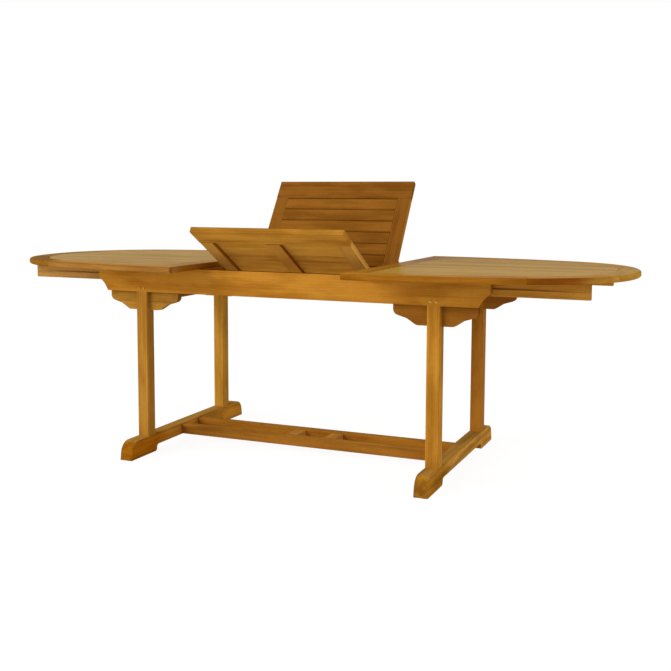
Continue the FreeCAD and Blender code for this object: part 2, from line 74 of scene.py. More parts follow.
class Wire:
    """A socket in a material's node tree. Arithmetic on it adds Math nodes to that tree."""

    def __init__(self, tree, socket=None):
        self.tree = tree
        self.socket = socket

    def node(self, kind, settings=None, inputs=None, output=0):
        """Adds a node: its settings first, then its sockets' values or links. Gives one output."""
        made = self.tree.nodes.new(kind)
        for name, value in (settings or {}).items():
            setattr(made, name, value)
        for name, value in (inputs or {}).items():
            if isinstance(value, Wire):
                self.tree.links.new(value.socket, made.inputs[name])
            else:
                made.inputs[name].default_value = value
        return Wire(self.tree, made.outputs[output] if made.outputs else None)

    def math(self, operation, first, second=0.0):
        """A Math node on one or two values."""
        return self.node("ShaderNodeMath", {"operation": operation}, {0: first, 1: second})

    def __add__(self, other):
        return self.math("ADD", self, other)

    def __sub__(self, other):
        return self.math("SUBTRACT", self, other)

    def __rsub__(self, other):
        return self.math("SUBTRACT", other, self)

    def __mul__(self, other):
        return self.math("MULTIPLY", self, other)

    def __truediv__(self, other):
        return self.math("DIVIDE", self, other)

    __radd__ = __add__
    __rmul__ = __mul__

    def between(self, low, high):
        """0 below the low value, 1 above the high one, and a smooth rise in between."""
        inputs = {"Value": self, "From Min": low, "From Max": high}
        return self.node("ShaderNodeMapRange", {"interpolation_type": "SMOOTHSTEP"}, inputs)

    def parts(self):
        """The x, y and z of the vector."""
        return [self.node("ShaderNodeSeparateXYZ", None, {"Vector": self}, k) for k in range(3)]

    def stretched(self, x, y, z):
        """The vector with each axis scaled, so that a pattern on it is drawn out."""
        scale = {0: self, 1: (x, y, z)}
        return self.node("ShaderNodeVectorMath", {"operation": "MULTIPLY"}, scale)

    def noise(self, detail):
        """Cloudy noise over the vector, from 0 to 1."""
        inputs = {"Vector": self, "Scale": 1.0, "Detail": detail}
        return self.node("ShaderNodeTexNoise", None, inputs)

    def blended(self, first, second):
        """Two colours mixed by this value."""
        return self.node("ShaderNodeMix", {"data_type": "RGBA"}, {0: self, 6: first, 7: second}, 2)


def bare(owner):
    """The emptied node tree of a material or of the room, as a wire to start from."""
    owner.use_nodes = True
    owner.node_tree.nodes.clear()
    return Wire(owner.node_tree)


def toned(woods, tone):
    """A wood's light and dark colours with each channel scaled by the tone."""
    return np.array(woods) * tone


def teak(name, centre, turn, woods, edge=None, fade=None, upper=None, pitch=None, spread=0.4,
         mottle=0.45, streaks=0.4, veins=0.3, end_grain=0.35, gloss=0.0, film=0.0, plank=0):
    """Oiled teak. Rings round a pith under the board, drawn along the grain, with streaks and pores.

    The turn lays the grain along X about the board's centre, and the woods are the light and dark
    colours of its two faces, and of its edges too where no others are given for those. A fade is a
    third pair, which the edges turn to between two places along the grain (0) or across it (1), and
    an upper pair is for the upper face alone. With a pitch, the node holds boards side by side that
    far apart, and each gets a pith and, by the spread, a tone of its own. The mottle is the strength
    of its clouds, the streaks and veins that of its long marks, the gloss that of the wood's own shine,
    and the film that of the oil shining on its faces. The end grain is how much darker the sawn ends
    are, and the plank is a number that picks another run of the same grain.
    """
    light, dark = ((*wood, 1.0) for wood in woods)
    made = bpy.data.materials.new(name)
    start = bare(made)
    place = start.node("ShaderNodeTexCoord", output="Object")
    moved = start.node("ShaderNodeVectorMath", {"operation": "SUBTRACT"}, {0: place, 1: centre})
    grain = start.node("ShaderNodeMapping", None, {"Vector": moved, "Rotation": turn})
    x, y, z = grain.parts()
    seed = sum(ord(letter) * (k + 1) for k, letter in enumerate(name)) % 97 + 13 * plank
    board = start.math("FLOOR", y / pitch + 0.5) if pitch else y * 0.0
    draw = {"W": board + seed}
    luck = start.node("ShaderNodeTexWhiteNoise", {"noise_dimensions": "1D"}, draw, "Color").parts()
    inside = y - board * pitch if pitch else y
    run = {0: x + luck[0] * PLANK_SHIFT, 1: y + luck[1], 2: z + seed}
    shifted = start.node("ShaderNodeCombineXYZ", None, run)

    drift = shifted.stretched(1.1, 5.0, 5.0).noise(2.0)
    across = inside + (luck[1] - 0.5) * PITH_SPREAD[0] + (drift - 0.5) * 0.05
    depth = z + PITH_DEPTH + luck[2] * PITH_SPREAD[1]
    from_pith = start.math("SQRT", across * across + depth * depth)
    ring = from_pith * RINGS_PER_METRE + drift * 3.0
    rings = start.math("SINE", ring * math.tau) * 0.5 + 0.5
    cloud = shifted.stretched(5.0, 22.0, 22.0).noise(3.0).between(0.36, 0.66)
    streak = shifted.stretched(1.6, 55.0, 55.0).noise(5.0)
    vein = shifted.stretched(0.9, 120.0, 120.0).noise(2.0).between(0.62, 0.74)
    fibre = shifted.stretched(9.0, 420.0, 420.0).noise(3.0)
    pores = shifted.stretched(45.0, 900.0, 900.0).noise(1.0).between(0.60, 0.72)

    facing = start.node("ShaderNodeTexCoord", output="Normal")
    normal = {"Vector": facing, "Rotation": turn}
    endways, _, lift = start.node("ShaderNodeMapping", {"vector_type": "NORMAL"}, normal).parts()
    end = start.math("ABSOLUTE", endways).between(*END_FACES)
    flat = start.math("ABSOLUTE", lift).between(*FLAT_FACES)

    level = (0.4 - streaks) * 0.5 - mottle * 0.45
    tone = rings * 0.15 + streak.between(0.3, 0.75) * streaks + fibre * 0.2
    tone = tone + (luck[0] - 0.5) * spread + cloud * mottle + end * end_grain + level
    if edge is not None:
        edge = [(*wood, 1.0) for wood in edge]
        if fade is not None:
            third, axis, low, high = fade
            turning = (x, y)[axis].between(low, high)
            edge = [turning.blended(first, (*last, 1.0)) for first, last in zip(edge, third)]
        light = flat.blended(edge[0], light)
        dark = flat.blended(edge[1], dark)
    if upper is not None:
        over = lift.between(*UPPER_FACES)
        light = over.blended(light, (*upper[0], 1.0))
        dark = over.blended(dark, (*upper[1], 1.0))
    colour = tone.blended(light, dark)
    shaded = {"data_type": "RGBA", "blend_type": "MULTIPLY"}
    soot = start.node("ShaderNodeMix", shaded, {0: 1.0, 6: dark, 7: PORE_SHADE}, 2)
    colour = (vein * veins + pores * 0.35).blended(colour, soot)
    rough = 0.55 + fibre * 0.16 + end * 0.15 - rings * 0.05
    height = fibre * 0.5 - pores * 0.8 + rings * 0.15
    relief = {"Strength": 0.25, "Distance": 0.0006, "Height": height}
    surface = start.node("ShaderNodeBsdfPrincipled", None, {
        "Base Color": colour, "Roughness": rough, "Normal": start.node("ShaderNodeBump", None, relief),
        "IOR": OIL_INDEX, "Specular IOR Level": gloss,
        "Coat Weight": flat * film if film else 0.0, "Coat Roughness": FILM_ROUGHNESS,
    })
    start.node("ShaderNodeOutputMaterial", None, {"Surface": surface})
    return made


def centre_of(node):
    """The middle of a CAD node's box at rest."""
    low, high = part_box(node)
    return tuple((low + high) / 2)


def coat(node, finish):
    """Puts a finish on a CAD node."""
    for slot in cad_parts[node].material_slots:
        slot.material = finish


def dress(node, turn, woods, edge=None, **looks):
    """Gives a CAD node its own teak, centred on its box."""
    coat(node, teak(node, centre_of(node), turn, woods, edge, **looks))


for end in ("left", "right"):
    fade = (FOOT_EDGE[end], 0, *FOOT_FADE)
    dress(f"{end}_foot", ALONG_Y, FOOT_TEAK, edge=NEAR_FOOT_EDGE[end], fade=fade, end_grain=0.4)

# Legs: four square posts, tenoned into the feet and lapped behind the aprons at the top, their
# grain upright. A pair of corbels shaped with the bandsaw is glued to each, left and right.
LEG_TEAK = ((0.67, 0.300, 0.030), (0.38, 0.150, 0.010))
# Each leg's tone is painted light and shade: the far left leg is lightened as painted light, and the
# near left and far right legs are darkened as painted shade.
LEG_LIGHT_AND_SHADE = {
    "near_left": (0.79, 0.82, 1.1), "near_right": (1.0, 1.0, 1.1),
    "far_left": (1.12, 1.28, 1.6), "far_right": (0.77, 0.69, 0.75),
}
# The corbels' teak is darkened as painted shade, and the same teak serves the rails, guide strips,
# battens and pivot blocks under the table. The near left corbels get a lighter copy as painted light.
UNDER_SHADE_TEAK = ((0.39, 0.150, 0.018), (0.23, 0.078, 0.008))
LIT_CORBEL_TEAK = ((0.53, 0.260, 0.040), (0.31, 0.133, 0.016))
for corner, tone in LEG_LIGHT_AND_SHADE.items():
    dress(f"{corner}_leg", ALONG_Z, toned(LEG_TEAK, tone), gloss=0.03)
    dress(f"{corner}_corbels", ALONG_X, LIT_CORBEL_TEAK if corner == "near_left" else UNDER_SHADE_TEAK)

# Rails: the top rail of each trestle, the rails that carry the leaf, the two long stretchers near
# the floor and the ties between them, all tenoned teak with the grain along the piece.
TIE_TEAK = ((0.76, 0.360, 0.066), (0.41, 0.185, 0.033))
for end in ("left", "right"):
    dress(f"{end}_trestle_rail", ALONG_Y, UNDER_SHADE_TEAK)
    dress(f"{end}_leaf_rail", ALONG_Y, UNDER_SHADE_TEAK)
    dress(f"{end}_tie", ALONG_Y, TIE_TEAK)
STRETCHER_TEAK = ((0.59, 0.275, 0.040), (0.33, 0.132, 0.016))
# The stretchers' sides are darker than their top and bottom faces as painted shade, deeper on the near
# one.
STRETCHER_SHADED_SIDES = {
    "near": ((0.44, 0.180, 0.022), (0.25, 0.084, 0.008)),
    "far": ((0.52, 0.210, 0.022), (0.29, 0.098, 0.008)),
}
for side in ("near", "far"):
    dress(f"{side}_stretcher", ALONG_X, STRETCHER_TEAK, edge=STRETCHER_SHADED_SIDES[side])

# Aprons: two long boards bolted over the legs, their ends sawn to a slant with a hollow, and their
# narrow faces painted dark as shade. A guide strip is let into the inner face at each end, for the
# grooved runners of the tops.
APRON_TEAK = ((0.59, 0.255, 0.029), (0.35, 0.124, 0.009))
# Painted shade for the aprons' narrow top and bottom faces.
APRON_NARROW_SHADE = ((0.14, 0.038, 0.002), (0.08, 0.020, 0.001))
for side in ("near", "far"):
    dress(f"{side}_apron", ALONG_X, APRON_NARROW_SHADE, edge=APRON_TEAK,
          mottle=0.6, streaks=0.2, veins=0.1, plank=1)
    dress(f"{side}_guide_strips", ALONG_X, UNDER_SHADE_TEAK)

# Rim: each top half has five pieces sawn from plank to the oval, jointed square to its edge. The
# outer edge is rounded over above and below, and each joint shows as a fine eased line.
RIM_TEAK = ((0.62, 0.280, 0.030), (0.41, 0.168, 0.013))
# The left half's rim edges are toned down as painted shade, against the stronger light that falls on
# them.
RIM_EDGE = {
    "left": ((0.44, 0.205, 0.042), (0.26, 0.104, 0.014)),
    "right": ((0.47, 0.180, 0.015), (0.27, 0.087, 0.005)),
}
UMBER_RIM_TEAK = ((0.31, 0.150, 0.018), (0.20, 0.088, 0.008))
UMBER_RIM_EDGE = ((0.31, 0.131, 0.016), (0.18, 0.066, 0.005))
DARK_TIP_EDGE = ((0.20, 0.090, 0.016), (0.12, 0.048, 0.007))
HONEY_RIM_TEAK = ((0.60, 0.340, 0.055), (0.39, 0.205, 0.025))
HONEY_RIM_EDGE = ((0.64, 0.320, 0.048), (0.39, 0.165, 0.020))
RUSSET_EDGE = ((0.34, 0.098, 0.008), (0.21, 0.056, 0.004))
LEFT_END_TONE = 1.3
TIP_FADE = (0.01, 0.07)
RUSSET_FADE = (-0.09, 0.03)
RIM_LOOKS = {
    "left_near_shoulder_rim": (UMBER_RIM_TEAK, UMBER_RIM_EDGE, (DARK_TIP_EDGE, 0, *TIP_FADE)),
    "left_end_rim": (toned(UMBER_RIM_TEAK, LEFT_END_TONE), UMBER_RIM_EDGE, None),
    "right_end_rim": (HONEY_RIM_TEAK, HONEY_RIM_EDGE, None),
    "right_near_shoulder_rim": (RIM_TEAK, HONEY_RIM_EDGE, (RUSSET_EDGE, 0, *RUSSET_FADE)),
}
RIM_FILM = 0.13
DULL_RIM_FILM = {"left_near_shoulder_rim": 0.05, "left_end_rim": 0.08}
HALF_WIDTH = 0.525
HALF_LENGTH = 0.891
TOP_LEVEL = 0.745
TOP_THICKNESS = 0.022
RIM_WIDTH = 0.075
RIM_ROUND = (0.0015, 0.008, 0.008, 0.0015)
RIM_STEPS = 40
OPENING = 0.325
END_ROUNDNESS = 1.07
SHOULDER_ROUNDNESS = 0.745
END_RADIUS = HALF_WIDTH * END_ROUNDNESS
SHOULDER_RADIUS = HALF_WIDTH * SHOULDER_ROUNDNESS
END_FACING = math.radians(22.5)
shoulder_x = HALF_LENGTH - END_RADIUS + (END_RADIUS - SHOULDER_RADIUS) * math.cos(END_FACING)
shoulder_y = (END_RADIUS - SHOULDER_RADIUS) * math.sin(END_FACING)
side_drop = HALF_WIDTH - shoulder_y
side_reach = shoulder_x**2 + side_drop**2 - SHOULDER_RADIUS**2
SIDE_RADIUS = side_reach / (2 * (side_drop - SHOULDER_RADIUS))
SIDE_FACING = math.atan2(SIDE_RADIUS - side_drop, shoulder_x)
ARC_X = np.array([HALF_LENGTH - END_RADIUS, shoulder_x, 0.0]) + OPENING
ARC_Y = np.array([0.0, shoulder_y, HALF_WIDTH - SIDE_RADIUS])
ARC_RADIUS = np.array([END_RADIUS, SHOULDER_RADIUS, SIDE_RADIUS])
EASE = 0.0007
CORNER_STEPS = 7
FLAT_MARGIN = 0.0005
SHARP_ANGLE = math.radians(35.0)


def section(width, thickness, rounds, ease):
    """Outlines of a board's section about its middle, one for each ease, as arrays (ease, point, 2).

    Each corner is a quarter circle of its own radius less the ease, about a centre that stays, and a
    point a small margin along each straight side keeps the flat of the side flat.
    """
    quarter = np.linspace(0.0, np.pi / 2, CORNER_STEPS)
    rounds = np.asarray(rounds)[:, None]
    radius = rounds[None] - np.asarray(ease)[:, None, None]
    margin = np.full_like(radius, FLAT_MARGIN)
    local_x = np.concatenate([radius, radius * np.cos(quarter), -margin], axis=2)
    local_y = np.concatenate([-margin, radius * np.sin(quarter), radius], axis=2)
    turn = np.arange(4)[:, None] * np.pi / 2
    middle_x = np.array([1, -1, -1, 1])[:, None] * (width / 2 - rounds)
    middle_y = np.array([1, 1, -1, -1])[:, None] * (thickness / 2 - rounds)
    points_x = middle_x + local_x * np.cos(turn) - local_y * np.sin(turn)
    points_y = middle_y + local_x * np.sin(turn) + local_y * np.cos(turn)
    return np.stack([points_x, points_y], -1).reshape(len(ease), -1, 2)


def boards(name, rings, body):
    """A piece of one or more closed boards, from rings of points as an array (board, ring, point, 3).

    Neighbouring rings are joined by quads, and the first and last ring of a board are filled in. Where
    the rings turn the wrong way about the way they run, their points are reversed.
    """
    count, along, around, _ = rings.shape
    across = rings[0, :, 1:] - rings[0, :, :1]
    turning = np.cross(across[1, :-1], across[1, 1:]).sum(0) @ (rings[0, -1, 0] - rings[0, 0, 0])
    if turning < 0:
        rings = rings[:, :, ::-1]
    place = np.arange(count * along * around).reshape(count, along, around)
    after = np.roll(place, -1, axis=2)
    quads = np.stack([place[:, :-1], after[:, :-1], after[:, 1:], place[:, 1:]], -1).reshape(-1, 4)
    faces = quads.tolist() + place[:, 0, ::-1].tolist() + place[:, -1].tolist()
    mesh = bpy.data.meshes.new(name)
    mesh.from_pydata(rings.reshape(-1, 3).tolist(), [], faces)
    mesh.shade_smooth()
    mesh.set_sharp_from_angle(angle=SHARP_ANGLE)
    made = bpy.data.objects.new(name, mesh)
    bpy.context.scene.collection.objects.link(made)
    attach(made, body)
    return made


def oval(facing, inset):
    """Points of the right half oval by the way its edge faces, moved in by the inset.

    A point is an arc's centre plus its radius less the inset, in the facing direction. The arcs are
    those of the end, the shoulder and the side, one after another as the facing turns.
    """
    turn = np.abs(facing)
    arc = np.digitize(turn, [END_FACING, SIDE_FACING])
    reach = ARC_RADIUS[arc] - inset
    return ARC_X[arc] + reach * np.cos(turn), np.copysign(ARC_Y[arc] + reach * np.sin(turn), facing)


def rim_piece(first, last, mirror):
    """The rim's section carried along one arc of the oval, its two ends eased by a hair."""
    turns = np.linspace(first, last, RIM_STEPS)
    arc = np.digitize(abs(first + last) / 2, [END_FACING, SIDE_FACING])
    hair = np.sign(last - first) * EASE / ARC_RADIUS[arc]
    turns = np.concatenate([turns[:1], turns[:1] + hair, turns[1:-1], turns[-1:] - hair, turns[-1:]])
    ease = np.zeros(len(turns))
    ease[[0, -1]] = EASE
    outline = section(RIM_WIDTH, TOP_THICKNESS, RIM_ROUND, ease)
    inset = outline[:, :, 0] + RIM_WIDTH / 2
    x, y = oval(turns[:, None] + 0.0 * inset, inset)
    z = outline[:, :, 1] + TOP_LEVEL - TOP_THICKNESS / 2
    return np.stack([mirror * x, y, z], -1)[None]


FACINGS = (math.pi / 2, SIDE_FACING, END_FACING, -END_FACING, -SIDE_FACING, -math.pi / 2)
RIM_NAMES = ("far_side_rim", "far_shoulder_rim", "end_rim", "near_shoulder_rim", "near_side_rim")
for half, mirror in (("left", -1), ("right", 1)):
    for rim, first, last in zip(RIM_NAMES, FACINGS, FACINGS[1:]):
        node = f"{half}_{rim}"
        piece = boards(f"{node}_rounded", rim_piece(first, last, mirror), f"{half}_top")
        chord = (first + last) / 2 - math.pi / 2
        woods, edge, fade = RIM_LOOKS.get(node, (RIM_TEAK, RIM_EDGE[half], None))
        piece.data.materials.append(teak(
            piece.name, centre_of(node), (0.0, 0.0, -mirror * chord), woods, edge, fade,
            film=DULL_RIM_FILM.get(node, RIM_FILM),
        ))
        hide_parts(node)

# Slats: seventeen boards in each half, let in between the inner rail and the rim with open gaps,
# their edges rounded and their outer ends sawn to the oval. Each board has a tone of its own.
SLAT_TEAK = ((0.57, 0.318, 0.054), (0.37, 0.198, 0.028))
SLAT_TONE = {"left": (0.91, 0.95, 1.1), "right": (1.0, 1.0, 1.0)}
# The slats' rounded edges are lighter and paler: partly wear, and partly a painted sheen in place of
# the oil's reflection, which the film leaves off the edges.
SLAT_WEAR_AND_SHEEN = (1.25, 1.35, 1.8)
SLAT_COUNT = 17
SLAT_GAP = 0.005
SLAT_ROUND = (0.002, 0.002, 0.002, 0.002)
SLAT_FILM = 0.18
SLAT_CLEARANCE = 0.0003
INNER_RAIL_WIDTH = 0.070
SLAT_START = OPENING + INNER_RAIL_WIDTH
SLAT_INSET = RIM_WIDTH + SLAT_CLEARANCE
SLAT_PITCH = 2 * (HALF_WIDTH - RIM_WIDTH) / SLAT_COUNT


def oval_reach(y, inset):
    """How far the oval goes along X at this distance across, moved in by the inset.

    It is the arc's middle plus the root of its radius squared less the distance from it squared.
    """
    across = np.abs(y)
    reach = ARC_RADIUS - inset
    ends = ARC_Y[:2] + reach[:2] * np.sin([END_FACING, SIDE_FACING])
    arc = np.digitize(across, ends)
    return ARC_X[arc] + np.sqrt(reach[arc]**2 - (across - ARC_Y[arc])**2)


for half, mirror in (("left", -1), ("right", 1)):
    middles = (np.arange(SLAT_COUNT) - (SLAT_COUNT - 1) / 2) * SLAT_PITCH
    ease = np.array([EASE, 0.0, 0.0, EASE])
    outline = section(SLAT_PITCH - SLAT_GAP, TOP_THICKNESS, SLAT_ROUND, ease)
    y = middles[:, None, None] + outline[None, :, :, 0]
    z = np.broadcast_to(outline[None, :, :, 1] + TOP_LEVEL - TOP_THICKNESS / 2, y.shape)
    end = oval_reach(y, SLAT_INSET)
    x = np.stack([np.full_like(end[:, 0], SLAT_START), np.full_like(end[:, 1], SLAT_START + EASE),
                  end[:, 2] - EASE, end[:, 3]], 1)
    rings = np.stack([mirror * x, y, z], -1)
    piece = boards(f"{half}_slats_rounded", rings, f"{half}_top")
    piece.data.materials.append(teak(
        piece.name, (0.0, 0.0, TOP_LEVEL), ALONG_X, toned(SLAT_TEAK, SLAT_TONE[half]),
        toned(SLAT_TEAK, SLAT_WEAR_AND_SHEEN), pitch=SLAT_PITCH, spread=0.7, film=SLAT_FILM,
    ))
    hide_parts(f"{half}_slats")

# Undersides of the tops: the inner rail that closes each half at the leaf, two battens screwed under
# the slats, and the grooved runners that slide on the guide strips. A tapered fillet and a plug are
# glued into the outer end of each groove, past the reach of its guide.
INNER_RAIL_TEAK = ((0.50, 0.225, 0.022), (0.32, 0.130, 0.009))
# The inner rails' edges are darker than their faces as painted shade.
INNER_RAIL_SHADED_EDGE = ((0.35, 0.133, 0.009), (0.20, 0.063, 0.003))
RUNNER_TEAK = ((0.66, 0.310, 0.048), (0.39, 0.165, 0.019))
# The left half's near runner, and the plug and fillet in its groove, are darkened as painted shade
# under the rim.
RUNNER_SHADE_TONE = {"left": (0.75, 0.81, 1.28), "right": (1.0, 1.0, 1.0)}
PLUG_LENGTH = 0.018
PLUG_DEPTH = 0.0098
PLUG_HEIGHT = 0.0058
PLUG_TOP = 0.69765
PLUG_ROUND = (0.0008, 0.0008, 0.0008, 0.0008)
FILLET_TAPER = np.array([0.1, 0.1, 0.95, 0.95])
FILLET_START = 0.035


def eased_boards(middles, width, thickness, rounds, level, first, last):
    """Boards side by side: along, across and up, each as an array (board, ring, point).

    The section stands at each middle with its top at the level, and is carried along from first to
    last, its two ends eased by a hair.
    """
    outline = section(width, thickness, rounds, (EASE, 0.0, 0.0, EASE))
    across = np.asarray(middles)[:, None, None] + outline[None, :, :, 0]
    up = level - thickness / 2 + outline[None, :, :, 1] + 0.0 * across
    along = np.array([first, first + EASE, last - EASE, last])[None, :, None] + 0.0 * across
    return along, across, up


for half, mirror in (("left", -1), ("right", 1)):
    dress(f"{half}_inner_rail", ALONG_Y, INNER_RAIL_TEAK, edge=INNER_RAIL_SHADED_EDGE, film=SLAT_FILM)
    dress(f"{half}_battens", ALONG_Y, UNDER_SHADE_TEAK)
    dress(f"{half}_near_runner", ALONG_X, toned(RUNNER_TEAK, RUNNER_SHADE_TONE[half]))
    dress(f"{half}_far_runner", ALONG_X, RUNNER_TEAK)
    for side, away, tone in (("near", -1, RUNNER_SHADE_TONE[half]), ("far", 1, 1.0)):
        corner = np.abs(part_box(f"{half}_{side}_runner")).max(0)
        plug_start = corner[0] - PLUG_LENGTH
        fillet_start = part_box("near_apron")[1][0] + FILLET_START
        block = ([PLUG_DEPTH / 2], PLUG_DEPTH, PLUG_HEIGHT, PLUG_ROUND, PLUG_TOP)
        plug_x, plug_y, plug_z = eased_boards(*block, plug_start, corner[0])
        fillet_x, fillet_y, fillet_z = eased_boards(*block, fillet_start, plug_start)
        x = np.concatenate([plug_x, fillet_x])
        y = np.concatenate([plug_y, fillet_y * FILLET_TAPER[:, None]]) + corner[1] - PLUG_DEPTH
        z = np.concatenate([plug_z, fillet_z])
        rings = np.stack([mirror * x, away * y, z], -1)
        plug = boards(f"{half}_{side}_groove_plug", rings, f"{half}_top")
        middle = (mirror * corner[0], away * corner[1], PLUG_TOP)
        plug.data.materials.append(teak(plug.name, middle, ALONG_X, toned(RUNNER_TEAK, tone)))

# Folding leaf: two framed wings hinged along their seam. Their slats are flush with the frame on top,
# with a groove at each joint, and deep in it below, under one batten. The far wing swings on a pair of
# round-bottomed cleats. The far wing's dark tone is partly darker wood and partly painted shade, the
# near wing's upper face has a tone close to it, and the near wing has the paler underside.
# The far wing's teak is dark partly as darker wood and partly as painted shade.
FAR_WING_TEAK = ((0.31, 0.117, 0.015), (0.17, 0.053, 0.005))
# The far stiles' edges are lighter than their faces as painted light.
FAR_STILE_LIT_EDGE = ((0.55, 0.250, 0.030), (0.31, 0.115, 0.010))
FAR_SLAT_TEAK = ((0.355, 0.138, 0.017), (0.187, 0.062, 0.006))
NEAR_WING_TEAK = ((0.66, 0.310, 0.043), (0.39, 0.160, 0.015))
NEAR_WING_EDGE = ((0.56, 0.255, 0.032), (0.33, 0.130, 0.011))
# The edges of one near stile are painted light, and across the wing they turn to painted shade on the
# other stile's edges. The batten's sides carry the same painted shade.
NEAR_STILE_TEAK = ((0.61, 0.302, 0.054), (0.38, 0.166, 0.020))
NEAR_STILE_LIT_EDGE = ((0.86, 0.470, 0.095), (0.53, 0.248, 0.035))
NEAR_SLAT_TEAK = ((0.66, 0.315, 0.044), (0.40, 0.160, 0.015))
NEAR_BATTEN_TEAK = ((0.63, 0.298, 0.045), (0.40, 0.161, 0.016))
NEAR_SIDE_SHADE = ((0.40, 0.150, 0.013), (0.23, 0.075, 0.005))
NEAR_UPPER_TEAK = ((0.40, 0.165, 0.022), (0.23, 0.078, 0.008))
STILE_FADE = (-0.1, 0.1)
WING_WOODS = {
    "far": {
        "rails": (FAR_WING_TEAK, None), "stiles": (FAR_WING_TEAK, FAR_STILE_LIT_EDGE, None),
        "slats": (FAR_SLAT_TEAK, None), "batten": (FAR_SLAT_TEAK, None), "upper": None,
    },
    "near": {
        "rails": (NEAR_WING_TEAK, NEAR_WING_EDGE),
        "stiles": (NEAR_STILE_TEAK, NEAR_STILE_LIT_EDGE, (NEAR_SIDE_SHADE, 1, *STILE_FADE)),
        "slats": (NEAR_SLAT_TEAK, None), "batten": (NEAR_BATTEN_TEAK, NEAR_SIDE_SHADE),
        "upper": NEAR_UPPER_TEAK,
    },
}
FAR_TILT = math.radians(56.3)
NEAR_FOLD = math.radians(-86.6)
PIVOT = np.array([0.132, 0.712])
SEAM = np.array([0.0, TOP_LEVEL])
WING_THICKNESS = 0.022
WING_SLAT_THICKNESS = 0.010
WING_SLAT_COUNT = 7
WING_SLAT_REACH = 0.244
WING_PANEL = (0.0725, 0.4405)
WING_PITCH = (WING_PANEL[1] - WING_PANEL[0]) / WING_SLAT_COUNT
WING_GAP = 0.0015
WING_ROUND = (0.0065, 0.0065, 0.001, 0.001)
WING_BATTEN_WIDTH = 0.052
WING_BATTEN_DEPTH = WING_THICKNESS - WING_SLAT_THICKNESS
WING_BATTEN_ROUND = (0.001, 0.001, 0.0015, 0.0015)


def swung(points, folded):
    """Points of the leaf lying flat, brought to rest: folded about the seam, then swung on the pivot.

    Each turn takes (y, z) from its centre to (y cos a - z sin a, y sin a + z cos a).
    """
    x, place = points[..., :1], points[..., 1:]
    turns = [(SEAM, NEAR_FOLD)] if folded else []
    for centre, angle in turns + [(PIVOT, FAR_TILT)]:
        turn = np.array([[math.cos(angle), math.sin(angle)], [-math.sin(angle), math.cos(angle)]])
        place = (place - centre) @ turn + centre
    return np.concatenate([x, place], -1)


for wing, side, tilt in (("far", 1.0, FAR_TILT), ("near", -1.0, FAR_TILT + NEAR_FOLD)):
    woods = WING_WOODS[wing]
    along = (-tilt, 0.0, 0.0)
    across = (-tilt, 0.0, -math.pi / 2)
    upper = woods["upper"]
    dress(f"{wing}_wing_edge_rail", along, *woods["rails"], upper=upper, mottle=0.7, end_grain=-0.2)
    dress(f"{wing}_wing_spine_rail", along, woods["rails"][0], upper=upper)
    stile, edge, fade = woods["stiles"]
    dress(f"{wing}_wing_stiles", across, stile, edge, fade=fade, upper=upper, mottle=0.5)
    middles = WING_PANEL[0] + (np.arange(WING_SLAT_COUNT) + 0.5) * WING_PITCH
    x, y, z = eased_boards(middles, WING_PITCH - WING_GAP, WING_SLAT_THICKNESS, WING_ROUND, TOP_LEVEL,
                           -WING_SLAT_REACH, WING_SLAT_REACH)
    rings = swung(np.stack([x, side * y, z], -1), wing == "near")
    slats = boards(f"{wing}_wing_slats_rounded", rings, f"{wing}_wing")
    slats.data.materials.append(teak(
        slats.name, centre_of(f"{wing}_wing_slats"), along, *woods["slats"], upper=upper,
        pitch=WING_PITCH, spread=0.55, mottle=0.5, streaks=0.25, veins=0.1, plank=6,
    ))
    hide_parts(f"{wing}_wing_slats")
    y, x, z = eased_boards([0.0], WING_BATTEN_WIDTH, WING_BATTEN_DEPTH, WING_BATTEN_ROUND,
                           TOP_LEVEL - WING_SLAT_THICKNESS, *WING_PANEL)
    rings = swung(np.stack([x, side * y, z], -1), wing == "near")
    batten = boards(f"{wing}_wing_batten_rounded", rings, f"{wing}_wing")
    batten.data.materials.append(teak(
        batten.name, centre_of(f"{wing}_wing_batten"), across, *woods["batten"],
        mottle=0.3, streaks=0.2, veins=0.0,
    ))
    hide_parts(f"{wing}_wing_batten")
dress("far_wing_pivot_blocks", (-FAR_TILT, 0.0, -math.pi / 2), UNDER_SHADE_TEAK)

# Bolts: eight round-headed bolts of satin brass draw the aprons to the legs, two to a leg, and the
# left ones get a darker brass as painted shade, to dim their glints. Only their low domes stand proud
# of the wood. The leaf's two pivot bolts are of the satin brass too.
SATIN_BRASS = ((0.60, 0.36, 0.10), (0.42, 0.23, 0.05))
# A darker brass for the left bolts: painted shade that dims their glints.
DIMMED_BRASS = ((0.54, 0.28, 0.065), (0.37, 0.175, 0.032))
BOLT_RADIUS = 0.0048
BOLT_DOME = 0.0015
BOLT_SHOULDER = 0.0010
BOLT_NECK = 0.62 * BOLT_RADIUS
BOLT_DEPTH = 0.012
BOLT_LEVEL = 0.6427
BOLT_SPACING = 0.021
BOLT_FACETS = 28
DOME_SWEEP = np.linspace(0.04, 1.0, 9)
LEG_PLACE = 0.581
APRON_FACE = 0.318


def brass(name, bright, worn):
    """Satin brass, cloudy from handling, with a fine grain in its roughness."""
    made = bpy.data.materials.new(name)
    start = bare(made)
    place = start.node("ShaderNodeTexCoord", output="Object")
    cloud = place.stretched(260.0, 260.0, 260.0).noise(3.0)
    grain = place.stretched(2400.0, 600.0, 2400.0).noise(2.0)
    colour = cloud.between(0.3, 0.7).blended((*bright, 1.0), (*worn, 1.0))
    rough = cloud * 0.2 + grain * 0.1 + 0.38
    relief = {"Strength": 0.2, "Distance": 0.0001, "Height": grain}
    surface = start.node("ShaderNodeBsdfPrincipled", None, {
        "Base Color": colour, "Roughness": rough, "Metallic": 1.0,
        "Normal": start.node("ShaderNodeBump", None, relief),
    })
    start.node("ShaderNodeOutputMaterial", None, {"Surface": surface})
    return made


